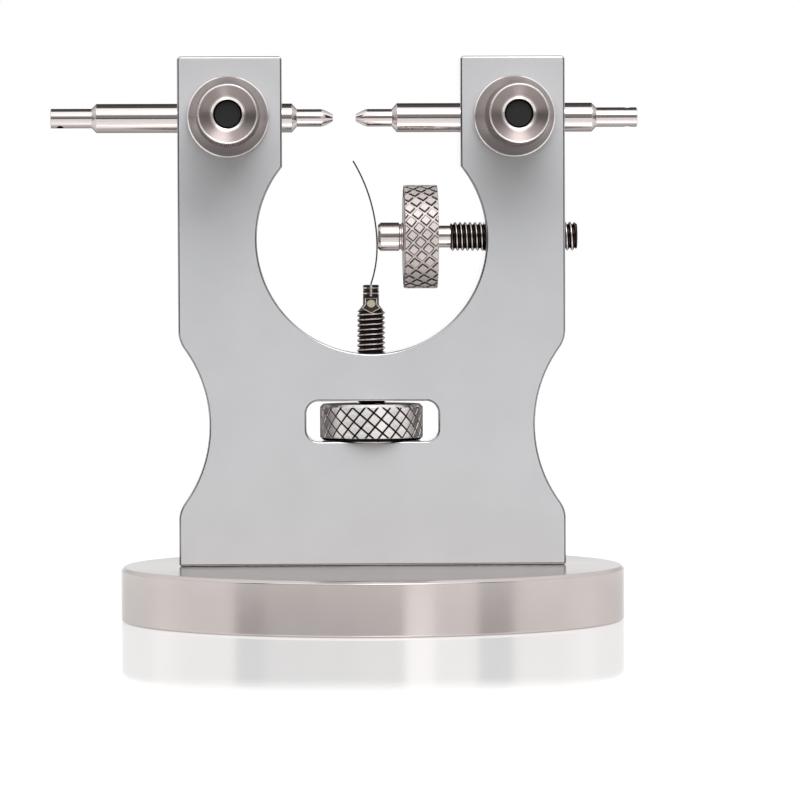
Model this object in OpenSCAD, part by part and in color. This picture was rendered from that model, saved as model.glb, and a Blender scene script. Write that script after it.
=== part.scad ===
// Balance truing caliper: an upright plate on a round base holds two centring
// spindles, an adjustable spring feeler and the screw that bends it.
// The origin is the centre of the base's underside. X runs along the spindles,
// Y points to the back and Z up. Heights named _z are above the base's top.

/* [Base] */
// Diameter of the round base
base_d = 50; // [46:0.5:60]
// Thickness of the base
base_t = 5.4; // [4.5:0.1:8]
// Chamfer round the base's two rims
base_chamfer = 0.3; // [0.1:0.05:0.8]

/* [Plate] */
// Width of the upright plate
plate_w = 38.5; // [37:0.1:41]
// Height of the upright plate
plate_h = 50.6; // [49.5:0.1:56]
// Thickness of the upright plate
plate_t = 8; // [7.6:0.1:9]
// How far the plate's front face stands ahead of the base's centre
plate_ahead = 1; // [0:0.1:4]
// Gap between the two towers
tower_gap = 17.7; // [16:0.1:18.5]
// Radius of the round window
window_r = 11.4; // [10.8:0.1:11.8]
// Height of the window's centre
window_z = 32.45; // [31.8:0.05:32.8]
// Width of the plate at its waist
waist_w = 32.4; // [31:0.1:33]
// Height of the waist
waist_z = 13.95; // [13:0.05:15]
// Radius of the hollow at each side of the waist
waist_r = 13; // [12:0.1:14]
// Radius of the rounding above and below each hollow
waist_blend_r = 3; // [2:0.1:3.5]
// Width of the slot for the height nut
slot_w = 13.1; // [12:0.1:14]
// Height of the slot for the height nut
slot_h = 4; // [3.9:0.05:4.5]
// Height of the slot's floor
slot_z = 12.35; // [11.8:0.05:12.6]
// Corner radius of the slot
slot_r = 1.2; // [0.5:0.1:1.8]

/* [Spindles] */
// Height of the spindles' common axis
spindle_z = 44.6; // [44:0.1:46]
// Diameter of a spindle's body
spindle_d = 2.9; // [2.5:0.05:3.2]
// Length of a spindle's body
spindle_l = 19.5; // [18:0.1:21]
// Diameter of the tail
tail_d = 1.95; // [1.5:0.05:2.2]
// Length of the tail
tail_l = 4.1; // [2.5:0.05:6]
// Diameter of the nose
nose_d = 1.75; // [1.3:0.05:2]
// Length of the nose before it narrows
nose_l = 2.4; // [1.5:0.1:3]
// Length of the rounded point
point_l = 1.2; // [0.8:0.05:1.5]
// Diameter at the very tip
tip_d = 0.7; // [0.5:0.05:0.9]
// Depth of the centre hole in the tip
centre_depth = 0.2; // [0.1:0.05:0.35]
// Length of the cone between tail and body
tail_cone_l = 0.45; // [0.2:0.05:0.8]
// Length of the cone between body and nose
nose_cone_l = 0.5; // [0.2:0.05:0.8]
// Place of the left tip along X
left_tip_x = -3.75; // [-4.5:0.05:-3.6]
// Place of the right tip along X
right_tip_x = -1.45; // [-1.75:0.05:-1]
// Diameter of the cross hole in the tail
cross_hole_d = 0.8; // [0.4:0.05:1]
// Distance of the cross hole from the tail's end
cross_hole_inset = 0.95; // [0.8:0.05:1.5]
// Turn of the left spindle's cross hole away from the front
left_cross_turn = 55; // [0:5:90]

/* [Clamps] */
// Distance of a clamp from the middle
clamp_x = 14.2; // [13.8:0.05:14.4]
// Length of a clamp knob
knob_l = 9.5; // [8:0.1:12]
// Diameter of the knob at its back
knob_back_d = 8.1; // [7.5:0.1:9]
// Diameter of the knob at its front
knob_front_d = 6; // [5.5:0.1:6.3]
// Diameter where the knob's grip ends and its flare starts
knob_grip_d = 6.4; // [6.3:0.1:7]
// Length of the knob's grip
knob_grip_l = 5; // [4:0.1:6]
// Length of the straight rim at the knob's back
knob_rim_l = 0.7; // [0.4:0.1:2]
// Rounding chamfer at the knob's edges
knob_chamfer = 0.15; // [0.05:0.05:0.3]
// Depth of the dish in the knob's front
dish_depth = 0.9; // [0.3:0.1:1.5]
// Width of the flat land round the dish
dish_land = 0.2; // [0.1:0.05:0.4]
// Diameter of the knob's hole
knob_hole_d = 2.8; // [2.6:0.05:3.2]
// Chamfer at the mouth of the knob's hole
hole_chamfer = 0.25; // [0.1:0.05:0.4]
// How far the stud's end lies inside the hole's mouth
stud_recess = 0.35; // [0.2:0.05:0.8]
// Thickness of the pressure pad
pad_t = 0.8; // [0.5:0.05:1]

/* [Threads] */
// Pitch of every fine thread
pitch = 0.5; // [0.4:0.05:0.6]
// Outer diameter of every fine thread
thread_d = 2.9; // [2.7:0.05:3]
// Depth of the thread's groove
thread_depth = 0.27; // [0.2:0.01:0.32]
// Hexagon socket's width across corners
socket_d = 1.7; // [1.3:0.05:1.9]
// Depth of a hexagon socket
socket_depth = 1; // [0.6:0.1:1.5]

/* [Height adjustment] */
// Diameter of the knurled height nut
nut_d = 10.3; // [9.5:0.1:11]
// Thickness of the height nut
nut_t = 3.6; // [3.3:0.05:3.8]
// Chamfer of the height nut
nut_chamfer = 0.3; // [0.1:0.05:0.5]
// Height of the rod's top
rod_top_z = 27.9; // [27:0.1:28.2]
// Height of the rod's lower end
rod_foot_z = 4.3; // [4.1:0.05:4.5]
// Diameter of the rod's neck
neck_d = 1.6; // [1.3:0.05:1.7]
// Length of the neck
neck_l = 2.1; // [1.8:0.05:2.4]
// Length of the cone under the neck
neck_cone_l = 0.4; // [0.2:0.05:0.6]
// Length of the rod's plain foot
rod_foot_l = 6.7; // [6.4:0.05:6.8]
// Width of the keyway in the foot
keyway_w = 0.9; // [0.7:0.05:1.2]
// Depth of the keyway
keyway_depth = 0.6; // [0.4:0.05:0.8]
// Height of the guide screw
guide_z = 6.4; // [6.2:0.05:6.6]
// Diameter of the guide screw
guide_d = 1.9; // [1.6:0.05:2.2]

/* [Feeler] */
// Thickness of the feeler strip
feeler_t = 0.12; // [0.08:0.01:0.13]
// Width of the feeler strip
feeler_w = 1.1; // [0.8:0.05:1.3]
// Width of the slit that holds the strip
slit_w = 0.22; // [0.2:0.01:0.26]
// Depth of the slit
slit_depth = 1.25; // [1:0.05:1.35]
// Depth to which the strip reaches into the slit
feeler_root_l = 0.7; // [0.5:0.05:0.8]
// Lean of the strip where it leaves the slit
feeler_lean = 18.5; // [17.5:0.5:19]
// Radius of the small bend over the slit
feeler_bend_r = 0.6; // [0.5:0.1:0.8]
// Radius of the lower arc of the strip
feeler_low_r = 11.5; // [11:0.1:12]
// Radius of the upper arc of the strip
feeler_high_r = 16.6; // [15:0.1:18]
// Angle of the upper arc
feeler_high_arc = 31; // [28:1:33]
// Diameter of the pin under the strip
feeler_pin_d = 0.9; // [0.6:0.05:1]
// Distance from the rod's top down to the pin
feeler_pin_drop = 1.9; // [1.8:0.05:2.2]

/* [Adjusting screw] */
// Height of the adjusting screw's axis
screw_z = 32.7; // [32.5:0.05:32.8]
// Distance of the push nose's face from the middle
push_x = 0.73; // [0.71:0.01:0.95]
// Diameter of the push nose
push_d = 2.85; // [2.4:0.05:3]
// Chamfer at the push nose's face
push_chamfer = 0.25; // [0.1:0.05:0.4]
// Width of the groove round the push nose
push_groove_w = 0.22; // [0.1:0.02:0.4]
// Distance of the groove from the wheel
push_groove_inset = 0.4; // [0.3:0.05:0.6]
// Depth of the groove
push_groove_depth = 0.15; // [0.05:0.05:0.25]
// Distance of the knurled wheel's left face from the middle
wheel_x = 3.3; // [3.1:0.05:3.5]
// Diameter of the knurled wheel
wheel_d = 10.35; // [9.5:0.1:11]
// Width of the knurled wheel
wheel_w = 3.35; // [3.1:0.05:3.6]
// Chamfer of the knurled wheel
wheel_chamfer = 0.25; // [0.1:0.05:0.5]
// Diameter of the screw's neck
screw_neck_d = 2.2; // [1.8:0.05:2.3]
// Length of the neck between wheel and thread
screw_neck_l = 1.3; // [1:0.05:2]
// Length of the thread
screw_thread_l = 12.7; // [12:0.1:13.5]
// Diameter of the spigot on which the push nose turns
spigot_d = 1.5; // [1.2:0.05:1.7]
// Length of the spigot inside the push nose
spigot_l = 1.4; // [1:0.05:1.6]

/* [Fastening] */
// Distance of a base screw from the middle
base_screw_x = 11; // [10:0.1:11.5]
// Length of a base screw
base_screw_l = 12; // [10:0.5:14]
// Diameter of a base screw's head
head_d = 5.5; // [5:0.1:6]
// How far the heads lie above the underside
head_recess = 0.3; // [0.2:0.05:0.6]
// Distance of a locating pin from the middle
locating_x = 16; // [15.5:0.1:16.5]
// Diameter of a locating pin
locating_d = 2; // [1.5:0.1:2.4]
// Length of a locating pin
locating_l = 6; // [5:0.5:7]

/* [Fits] */
// Radial clearance of a moving fit
running = 0.05; // [0.03:0.01:0.08]
// Radial clearance of a fixed fit
snug = 0.02; // [0.01:0.01:0.04]
// Gap between faces that nearly meet
face_gap = 0.05; // [0.03:0.01:0.08]
// Gap between a tight knob and the plate
knob_gap = 0.2; // [0.1:0.05:0.4]

/* [Hidden] */
$fn = 96;

// Overshoot of a cut past the face that it opens
over = 0.5;
// Number of straight steps in each arc of the feeler
feeler_steps = 14;
// Number of straight steps along a spindle's rounded point
point_steps = 6;
// Shares of the pitch at which a thread's flat crest starts and ends
crest_start = 0.44;
crest_end = 0.56;
// Chamfer at the guide screw's ends
guide_chamfer = 0.1;

plate_front_y = -plate_ahead;
plate_back_y = plate_front_y + plate_t;
plate_mid_y = plate_front_y + plate_t / 2;

// Absolute height of a place given above the base's top
function up(z) = base_t + z;

spindle_total = tail_l + tail_cone_l + spindle_l + nose_cone_l + nose_l + point_l;
knob_back_y = plate_front_y - knob_gap;
knob_front_y = knob_back_y - knob_l;
stud_front_y = knob_front_y + dish_depth + stud_recess;
pad_back_y = plate_mid_y - spindle_d / 2 - face_gap;
pad_front_y = pad_back_y - pad_t;
nut_z = slot_z + face_gap;
slit_floor_z = rod_top_z - slit_depth;
screw_tail_x = wheel_x + wheel_w + screw_neck_l + screw_thread_l;

// A cone frustum along +Z from radius r1 at 0 to radius r2 at h
module frustum(r1, r2, h) {
    cylinder(r1 = r1, r2 = r2, h = h);
}

// A rod along +Z with equal chamfers at both ends
module chamfered_rod(d, h, c) {
    rotate_extrude()
        polygon([[0, 0], [d / 2 - c, 0], [d / 2, c], [d / 2, h - c], [d / 2 - c, h], [0, h]]);
}

// One groove-and-crest step of the thread's outline, starting at height z
function thread_step(z) = [
    [thread_d / 2 - thread_depth, z],
    [thread_d / 2, z + pitch * crest_start],
    [thread_d / 2, z + pitch * crest_end]
];

// A threaded rod along +Z of a whole number of grooves, with plain ends
module threaded_rod(h) {
    turns = floor(h / pitch);
    root_r = thread_d / 2 - thread_depth;
    steps = [for (i = [0 : turns - 1]) each thread_step(i * pitch)];
    rotate_extrude()
        polygon(concat([[0, 0]], steps, [[root_r, turns * pitch], [root_r, h], [0, h]]));
}

// A hexagon socket of the width d across corners that opens at z = 0 and goes down
module socket(d) {
    translate([0, 0, -socket_depth]) cylinder(d = d, h = socket_depth + over, $fn = 6);
}

// Puts its child's +Z axis along +X at the height z and the plate's mid-plane
module along_x(x, z) {
    translate([x, plate_mid_y, up(z)]) rotate([0, 90, 0]) children();
}

// Puts its child's +Z axis along +Y at the place x, y and z
module along_y(x, y, z) {
    translate([x, y, up(z)]) rotate([-90, 0, 0]) children();
}

// Base

module base_disc() {
    color("#b9b0ac") difference() {
        chamfered_rod(base_d, base_t, base_chamfer);
        for (s = [-1, 1]) {
            translate([s * base_screw_x, plate_mid_y, 0]) {
                translate([0, 0, -over]) cylinder(d = thread_d + 2 * running, h = base_t + 2 * over);
                translate([0, 0, head_recess])
                    frustum(head_d / 2 + running, thread_d / 2 + running, (head_d - thread_d) / 2);
                translate([0, 0, -over]) cylinder(d = head_d + 2 * running, h = head_recess + over);
            }
            translate([s * locating_x, plate_mid_y, base_t - locating_l / 2])
                cylinder(d = locating_d + 2 * snug, h = locating_l / 2 + over);
        }
    }
}

module base_screws() {
    cone_l = (head_d - thread_d) / 2;
    color("#8f8a88") for (s = [-1, 1]) {
        translate([s * base_screw_x, plate_mid_y, head_recess]) difference() {
            union() {
                frustum(head_d / 2, thread_d / 2 - thread_depth, cone_l + thread_depth);
                translate([0, 0, cone_l]) threaded_rod(base_screw_l - cone_l);
            }
            mirror([0, 0, 1]) socket(socket_d);
        }
    }
}

module locating_pins() {
    color("#a8a3a1") for (s = [-1, 1]) {
        translate([s * locating_x, plate_mid_y, base_t - locating_l / 2 + face_gap])
            chamfered_rod(locating_d, locating_l - 2 * face_gap, base_chamfer);
    }
}

// Upright plate

// The area cut away beside the waist on the right, with its two roundings
module waist_cut() {
    side_x = plate_w / 2;
    hollow_x = waist_w / 2 + waist_r;
    blend_x = side_x - waist_blend_r;
    blend_rise = sqrt(pow(waist_r + waist_blend_r, 2) - pow(hollow_x - blend_x, 2));
    translate([hollow_x, waist_z]) circle(r = waist_r);
    for (s = [-1, 1]) {
        difference() {
            polygon([
                [blend_x, waist_z + s * blend_rise],
                [side_x + over, waist_z + s * blend_rise],
                [hollow_x, waist_z]
            ]);
            translate([blend_x, waist_z + s * blend_rise]) circle(r = waist_blend_r);
        }
    }
}

module slot_outline() {
    translate([-slot_w / 2 + slot_r, slot_z]) square([slot_w - 2 * slot_r, slot_h]);
    translate([-slot_w / 2, slot_z + slot_r]) square([slot_w, slot_h - 2 * slot_r]);
    for (x = [-1, 1], z = [slot_z + slot_r, slot_z + slot_h - slot_r]) {
        translate([x * (slot_w / 2 - slot_r), z]) circle(r = slot_r);
    }
}

module plate_outline() {
    difference() {
        translate([-plate_w / 2, 0]) square([plate_w, plate_h]);
        translate([0, window_z]) circle(r = window_r);
        translate([-tower_gap / 2, window_z]) square([tower_gap, plate_h]);
        slot_outline();
        waist_cut();
        mirror([1, 0]) waist_cut();
    }
}

module frame_plate() {
    color("#c2c3c6") difference() {
        translate([0, plate_back_y, base_t]) rotate([90, 0, 0])
            linear_extrude(height = plate_t) plate_outline();
        along_x(-plate_w / 2 - over, spindle_z)
            cylinder(d = spindle_d + 2 * running, h = plate_w + 2 * over);
        along_x(0, screw_z) cylinder(d = thread_d + 2 * running, h = plate_w / 2 + over);
        translate([0, plate_mid_y, base_t - over])
            cylinder(d = thread_d + 2 * running, h = window_z - window_r / 2 + over);
        along_y(0, plate_mid_y, guide_z)
            cylinder(d = guide_d + 2 * running, h = plate_t / 2 + over);
        for (s = [-1, 1]) {
            along_y(s * clamp_x, plate_front_y - over, spindle_z)
                cylinder(d = thread_d + 2 * running, h = plate_t / 2 + over);
            translate([s * base_screw_x, plate_mid_y, base_t - over])
                cylinder(d = thread_d + 2 * running, h = head_recess + base_screw_l - base_t + 2 * over);
            translate([s * locating_x, plate_mid_y, base_t - over])
                cylinder(d = locating_d + 2 * snug, h = locating_l / 2 + over);
        }
    }
}

module guide_screw() {
    keyway_floor_y = plate_mid_y + thread_d / 2 - keyway_depth;
    thread_front_y = plate_mid_y + thread_d / 2 + 4 * face_gap;
    dog_l = thread_front_y - keyway_floor_y - 2 * face_gap;
    thread_l = plate_back_y - face_gap - thread_front_y;
    color("#55504e") along_y(0, keyway_floor_y + 2 * face_gap, guide_z) difference() {
        union() {
            cylinder(d = keyway_w - 2 * running, h = dog_l);
            translate([0, 0, dog_l]) chamfered_rod(guide_d, thread_l, guide_chamfer);
        }
        translate([0, 0, dog_l + thread_l]) socket(guide_d / 2);
    }
}

// Spindles

// A spindle along +Z, from the tail's end at 0 to the tip
module spindle(cross_turn) {
    body_foot = tail_l + tail_cone_l;
    body_top = body_foot + spindle_l;
    nose_foot = body_top + nose_cone_l;
    nose_top = nose_foot + nose_l;
    point = [
        for (i = [0 : point_steps])
            let (f = i / point_steps)
            [nose_d / 2 - (nose_d - tip_d) / 2 * (1 - cos(90 * f)), nose_top + point_l * f]
    ];
    difference() {
        rotate_extrude() polygon(concat(
            [
                [0, 0], [tail_d / 2 - face_gap, 0], [tail_d / 2, face_gap], [tail_d / 2, tail_l],
                [spindle_d / 2, body_foot], [spindle_d / 2, body_top], [nose_d / 2, nose_foot]
            ],
            point,
            [[centre_depth, spindle_total], [0, spindle_total - centre_depth]]
        ));
        translate([0, 0, cross_hole_inset]) rotate([0, 90, cross_turn])
            cylinder(d = cross_hole_d, h = spindle_d + 2 * over, center = true);
    }
}

module left_spindle() {
    color("#c4b9b5") along_x(left_tip_x - spindle_total, spindle_z) spindle(90 - left_cross_turn);
}

module right_spindle() {
    color("#c4b9b5") along_x(right_tip_x + spindle_total, spindle_z) mirror([0, 0, 1]) spindle(0);
}

// Clamps

// A clamp knob along +Z, with its dished front at 0 and its back at knob_l
module knob() {
    back_r = knob_back_d / 2;
    front_r = knob_front_d / 2;
    grip_r = knob_grip_d / 2;
    hole_r = knob_hole_d / 2;
    rotate_extrude() polygon([
        [hole_r, dish_depth + hole_chamfer],
        [hole_r + hole_chamfer, dish_depth],
        [front_r - knob_chamfer - dish_land, 0],
        [front_r - knob_chamfer, 0],
        [front_r, knob_chamfer],
        [grip_r, knob_grip_l],
        [back_r, knob_l - knob_rim_l],
        [back_r, knob_l - knob_chamfer],
        [back_r - knob_chamfer, knob_l],
        [hole_r, knob_l]
    ]);
}

module clamp_knob(s) {
    color("#a3979a") along_y(s * clamp_x, knob_front_y, spindle_z) knob();
}

module clamp_stud(s) {
    plain_l = plate_front_y - face_gap - stud_front_y;
    thread_l = pad_front_y - face_gap - stud_front_y - plain_l;
    color("#2a2828") along_y(s * clamp_x, stud_front_y, spindle_z) {
        cylinder(d = knob_hole_d - 2 * snug, h = plain_l);
        translate([0, 0, plain_l]) threaded_rod(thread_l);
    }
}

module clamp_pad(s) {
    color("#c9a95a") along_y(s * clamp_x, pad_front_y, spindle_z)
        cylinder(d = thread_d - 2 * running, h = pad_t);
}

// Height adjustment

module height_nut() {
    color("#c9bcb8") translate([0, plate_mid_y, up(nut_z)]) difference() {
        chamfered_rod(nut_d, nut_t, nut_chamfer);
        translate([0, 0, -over]) cylinder(d = thread_d + 2 * running, h = nut_t + 2 * over);
    }
}

module height_rod() {
    thread_foot_z = rod_foot_z + rod_foot_l;
    neck_foot_z = rod_top_z - neck_l;
    thread_l = neck_foot_z - neck_cone_l - thread_foot_z;
    keyway_l = rod_foot_l - face_gap * 2;
    color("#2b2322") translate([0, plate_mid_y, up(rod_foot_z)]) difference() {
        union() {
            cylinder(d = thread_d, h = rod_foot_l);
            translate([0, 0, rod_foot_l]) threaded_rod(thread_l);
            translate([0, 0, rod_foot_l + thread_l])
                frustum(thread_d / 2 - thread_depth, neck_d / 2, neck_cone_l);
            translate([0, 0, rod_foot_l + thread_l + neck_cone_l]) cylinder(d = neck_d, h = neck_l);
        }
        translate([-slit_w / 2, -neck_d, slit_floor_z - rod_foot_z])
            cube([slit_w, 2 * neck_d, slit_depth + over]);
        translate([-keyway_w / 2, thread_d / 2 - keyway_depth, -over])
            cube([keyway_w, keyway_depth + over, keyway_l + over]);
        translate([0, 0, rod_top_z - feeler_pin_drop - rod_foot_z]) rotate([90, 0, 0])
            cylinder(d = feeler_pin_d + 2 * snug, h = thread_d + 2 * over, center = true);
    }
}

module feeler_pin() {
    color("#c4b27a") translate([0, plate_mid_y, up(rod_top_z - feeler_pin_drop)]) rotate([90, 0, 0])
        cylinder(d = feeler_pin_d, h = neck_d, center = true);
}

// Points along an arc of radius r about c, from angle a to angle b
function arc_points(c, r, a, b) = [
    for (i = [0 : feeler_steps])
        let (t = a + (b - a) * i / feeler_steps)
        [c[0] + r * cos(t), c[1] + r * sin(t)]
];

// One side of the feeler, at the offset d to the right of its middle line.
// It leaves the slit leaning right, bulges and curves over to the left.
function feeler_side(d) =
    let (
        bend_c = [feeler_bend_r, 0],
        lean_end = [feeler_bend_r * (1 - cos(feeler_lean)), feeler_bend_r * sin(feeler_lean)],
        low_c = lean_end - feeler_low_r * [cos(feeler_lean), -sin(feeler_lean)],
        bulge = low_c + [feeler_low_r, 0],
        high_c = bulge - [feeler_high_r, 0]
    )
    concat(
        [[d, -feeler_root_l]],
        arc_points(bend_c, feeler_bend_r - d, 180, 180 - feeler_lean),
        arc_points(low_c, feeler_low_r + d, -feeler_lean, 0),
        arc_points(high_c, feeler_high_r + d, 0, feeler_high_arc)
    );

function reversed(list) = [for (i = [len(list) - 1 : -1 : 0]) list[i]];

module feeler() {
    color("#3c3a3a") translate([0, plate_mid_y + feeler_w / 2, up(rod_top_z)]) rotate([90, 0, 0])
        linear_extrude(height = feeler_w)
            polygon(concat(feeler_side(feeler_t / 2), reversed(feeler_side(-feeler_t / 2))));
}

// Adjusting screw

module push_nose() {
    length = wheel_x - face_gap - push_x;
    groove_foot = length - push_groove_inset - push_groove_w;
    r = push_d / 2;
    bore_r = spigot_d / 2 + running;
    bore_foot = length - spigot_l - face_gap;
    color("#c9bfbb") along_x(push_x, screw_z) rotate_extrude() polygon([
        [0, 0], [r - push_chamfer, 0], [r, push_chamfer], [r, groove_foot],
        [r - push_groove_depth, groove_foot], [r - push_groove_depth, groove_foot + push_groove_w],
        [r, groove_foot + push_groove_w], [r, length], [bore_r, length], [bore_r, bore_foot], [0, bore_foot]
    ]);
}

module adjust_wheel() {
    color("#cbbfbb") along_x(wheel_x, screw_z) difference() {
        chamfered_rod(wheel_d, wheel_w, wheel_chamfer);
        translate([0, 0, -over]) cylinder(d = screw_neck_d + 2 * snug, h = wheel_w + 2 * over);
    }
}

module adjust_screw() {
    color("#b5aaa7") along_x(wheel_x, screw_z) {
        translate([0, 0, -spigot_l - face_gap]) cylinder(d = spigot_d, h = spigot_l + face_gap);
        cylinder(d = screw_neck_d, h = wheel_w + screw_neck_l);
        translate([0, 0, wheel_w + screw_neck_l]) threaded_rod(screw_thread_l);
    }
}

base_disc();
frame_plate();
base_screws();
locating_pins();
guide_screw();
left_spindle();
right_spindle();
clamp_knob(-1);  // left_clamp_knob
clamp_stud(-1);  // left_clamp_stud
clamp_pad(-1);  // left_clamp_pad
clamp_knob(1);  // right_clamp_knob
clamp_stud(1);  // right_clamp_stud
clamp_pad(1);  // right_clamp_pad
height_nut();
height_rod();
feeler_pin();
feeler();
push_nose();
adjust_wheel();
adjust_screw();
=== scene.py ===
import math

import bmesh
import bpy
from mathutils import Matrix, Vector
from mathutils.geometry import tessellate_polygon


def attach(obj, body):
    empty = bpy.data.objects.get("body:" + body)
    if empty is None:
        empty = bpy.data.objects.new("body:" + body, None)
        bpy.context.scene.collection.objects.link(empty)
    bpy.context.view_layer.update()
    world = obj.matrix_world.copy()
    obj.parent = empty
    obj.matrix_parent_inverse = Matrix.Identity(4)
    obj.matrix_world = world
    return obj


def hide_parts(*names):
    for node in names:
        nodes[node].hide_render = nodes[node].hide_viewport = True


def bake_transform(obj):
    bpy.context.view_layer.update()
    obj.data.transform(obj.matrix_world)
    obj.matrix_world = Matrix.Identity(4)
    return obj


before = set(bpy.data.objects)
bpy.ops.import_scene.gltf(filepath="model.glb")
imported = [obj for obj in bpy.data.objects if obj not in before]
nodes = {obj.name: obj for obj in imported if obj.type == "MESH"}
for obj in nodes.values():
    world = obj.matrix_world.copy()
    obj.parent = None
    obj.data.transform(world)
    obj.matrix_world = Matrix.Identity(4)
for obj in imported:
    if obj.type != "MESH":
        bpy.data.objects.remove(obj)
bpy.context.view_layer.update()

# Sizes are in millimetres, as in part.scad, and each mesh is scaled to metres once.
MM = 0.001
BASE_R, BASE_T = 25.0, 5.4
MID_Y = 3.0
FRONT_Y, BACK_Y = -1.0, 7.0
SPINDLE_Z = BASE_T + 44.6
SPINDLE_R, SPINDLE_L = 1.45, 28.15
LEFT_TIP_X, RIGHT_TIP_X = -3.75, -1.45
SCREW_Z = BASE_T + 32.7
CLAMP_X = 14.2
BASE_SCREW_X, BASE_PIN_X = 11.0, 16.0
GUIDE_Z = BASE_T + 6.4
PITCH = 0.5
THREAD_R = 1.45
THREAD_DEPTH = 0.27
BORE_R, PIN_BORE_R = 1.5, 1.02
SEG, SMALL_SEG = 128, 72


# ---------------------------------------------------------------- mesh tools

def mesh_object(name, verts, faces):
    mesh = bpy.data.meshes.new(name)
    mesh.from_pydata([tuple(v) for v in verts], [], [tuple(f) for f in faces])
    mesh.validate()
    obj = bpy.data.objects.new(name, mesh)
    bpy.context.scene.collection.objects.link(obj)
    return obj


def bm_object(name, bm):
    bmesh.ops.recalc_face_normals(bm, faces=bm.faces[:])
    mesh = bpy.data.meshes.new(name)
    bm.to_mesh(mesh)
    bm.free()
    obj = bpy.data.objects.new(name, mesh)
    bpy.context.scene.collection.objects.link(obj)
    return obj


def apply_modifiers(obj):
    bpy.context.view_layer.update()
    graph = bpy.context.evaluated_depsgraph_get()
    mesh = bpy.data.meshes.new_from_object(obj.evaluated_get(graph))
    obj.modifiers.clear()
    obj.data = mesh


def combine(obj, tool, operation="DIFFERENCE"):
    mod = obj.modifiers.new("combine", "BOOLEAN")
    mod.operation = operation
    mod.solver = "EXACT"
    mod.object = tool
    apply_modifiers(obj)
    bpy.data.objects.remove(tool)
    return obj


def place(obj, x=0.0, y=0.0, z=0.0, axis="Z"):
    """Moves a piece built along +Z so that its +Z lies along the named axis."""
    turns = {
        "Z": Matrix.Identity(4),
        "X": Matrix.Rotation(math.pi / 2, 4, "Y"),
        "-X": Matrix.Rotation(-math.pi / 2, 4, "Y"),
        "Y": Matrix.Rotation(-math.pi / 2, 4, "X"),
    }
    obj.data.transform(Matrix.Translation((x, y, z)) @ turns[axis])
    return obj


def soften(points, radius, closed=False, steps=3, support=0.04):
    """Rounds the corners of a profile, with a support point beside each rounding."""
    out = []
    count = len(points)
    for i, p in enumerate(points):
        p = Vector(p)
        if not closed and i in (0, count - 1):
            out.append(tuple(p))
            continue
        before, after = Vector(points[i - 1]), Vector(points[(i + 1) % count])
        a, b = before - p, after - p
        if abs(p.x) < 1e-6 or a.length < 1e-6 or b.length < 1e-6:
            out.append(tuple(p))
            continue
        half = a.angle(b) / 2
        cut = min(radius / math.tan(half), 0.3 * a.length, 0.3 * b.length)
        if half > math.radians(84):
            out.append(tuple(p))
            continue
        r = cut * math.tan(half)
        a.normalize()
        b.normalize()
        centre = p + (a + b).normalized() * (r / math.sin(half))
        start, end = p + a * cut, p + b * cut
        gap = min(support, cut)
        out.append(tuple(start + a * gap))
        u, v = start - centre, end - centre
        sweep = u.angle(v)
        for k in range(steps + 1):
            t = k / steps
            w = (u * math.sin((1 - t) * sweep) + v * math.sin(t * sweep)) / math.sin(sweep)
            out.append(tuple(centre + w))
        out.append(tuple(end + b * gap))
    return out


def lathe(name, profile, closed=False, seg=SEG, cut=None):
    """Turns a profile of (radius, height) points round +Z; cut(r, z) is the depth of serrations there."""
    bm = bmesh.new()
    rings = []
    for r, z in profile:
        if r < 1e-6:
            rings.append([bm.verts.new((0, 0, z))])
            continue
        low = r - cut(r, z) if cut else r
        radii = [low if i % 2 else r for i in range(seg)]
        turns = [2 * math.pi * i / seg for i in range(seg)]
        rings.append([bm.verts.new((a * math.cos(t), a * math.sin(t), z)) for a, t in zip(radii, turns)])
    pairs = list(zip(rings, rings[1:]))
    if closed:
        pairs.append((rings[-1], rings[0]))
    for low, high in pairs:
        for i in range(seg):
            j = (i + 1) % seg
            corners = [low[i % len(low)], low[j % len(low)], high[j % len(high)], high[i % len(high)]]
            unique = list(dict.fromkeys(corners))
            if len(unique) > 2:
                bm.faces.new(unique)
    return bm_object(name, bm)


def rod_tool(r, z0, z1, seg=64):
    return lathe("tool", [(0, z0), (r, z0), (r, z1), (0, z1)], seg=seg)


def box_tool(low, high):
    (x0, y0, z0), (x1, y1, z1) = low, high
    verts = [(x, y, z) for z in (z0, z1) for y in (y0, y1) for x in (x0, x1)]
    faces = [(0, 2, 3, 1), (4, 5, 7, 6), (0, 1, 5, 4), (2, 6, 7, 3), (0, 4, 6, 2), (1, 3, 7, 5)]
    return mesh_object("tool", verts, faces)


def cap_to_axis(bm, low_z, high_z):
    """Closes both ragged ends of a tube with fans to points on the axis."""
    middle = (low_z + high_z) / 2
    low, high = bm.verts.new((0, 0, low_z)), bm.verts.new((0, 0, high_z))
    for e in [e for e in bm.edges if e.is_boundary]:
        a, b = e.verts
        bm.faces.new((a, b, low if (a.co.z + b.co.z) / 2 < middle else high))


# One turn of the thread's outline: share of the pitch and share of the depth cut away
THREAD_OUTLINE = [
    (0, 1), (0.04, 1), (0.38, 0.12), (0.42, 0.03), (0.46, 0), (0.54, 0), (0.58, 0.03), (0.62, 0.12), (0.96, 1)
]


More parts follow.
